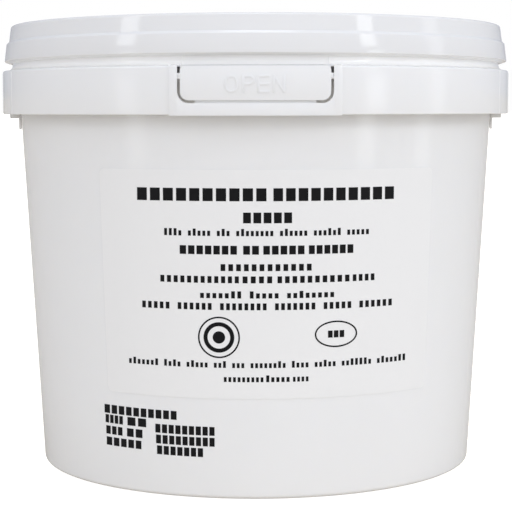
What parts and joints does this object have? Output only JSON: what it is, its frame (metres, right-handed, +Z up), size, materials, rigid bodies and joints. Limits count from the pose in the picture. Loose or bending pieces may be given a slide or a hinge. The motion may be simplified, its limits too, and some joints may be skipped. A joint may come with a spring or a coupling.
{
  "type": "lidded plastic food tub",
  "caption": "Shut round tapered plastic tub with a stepped press-on lid, a deep outer skirt with a framed tear tab in front, small side lugs and a wrap label.",
  "frame": {"origin": "centre of the foot ring, on the surface that the tub stands on", "axes": "+Z up through the lid, -Y towards the tear tab and the label, +X to the right as the label is read"},
  "size_m": [0.182, 0.1818, 0.1562],
  "materials": {
    "tub_plastic": "white polypropylene, soft gloss",
    "lid_plastic": "white polypropylene, soft gloss",
    "label_film": "white self-adhesive film, satin",
    "print": "black print, matt"
  },
  "bodies": {
    "root": {"tub": "tub_plastic", "lid": "lid_plastic", "label": "label_film"}
  },
  "joints": []
}
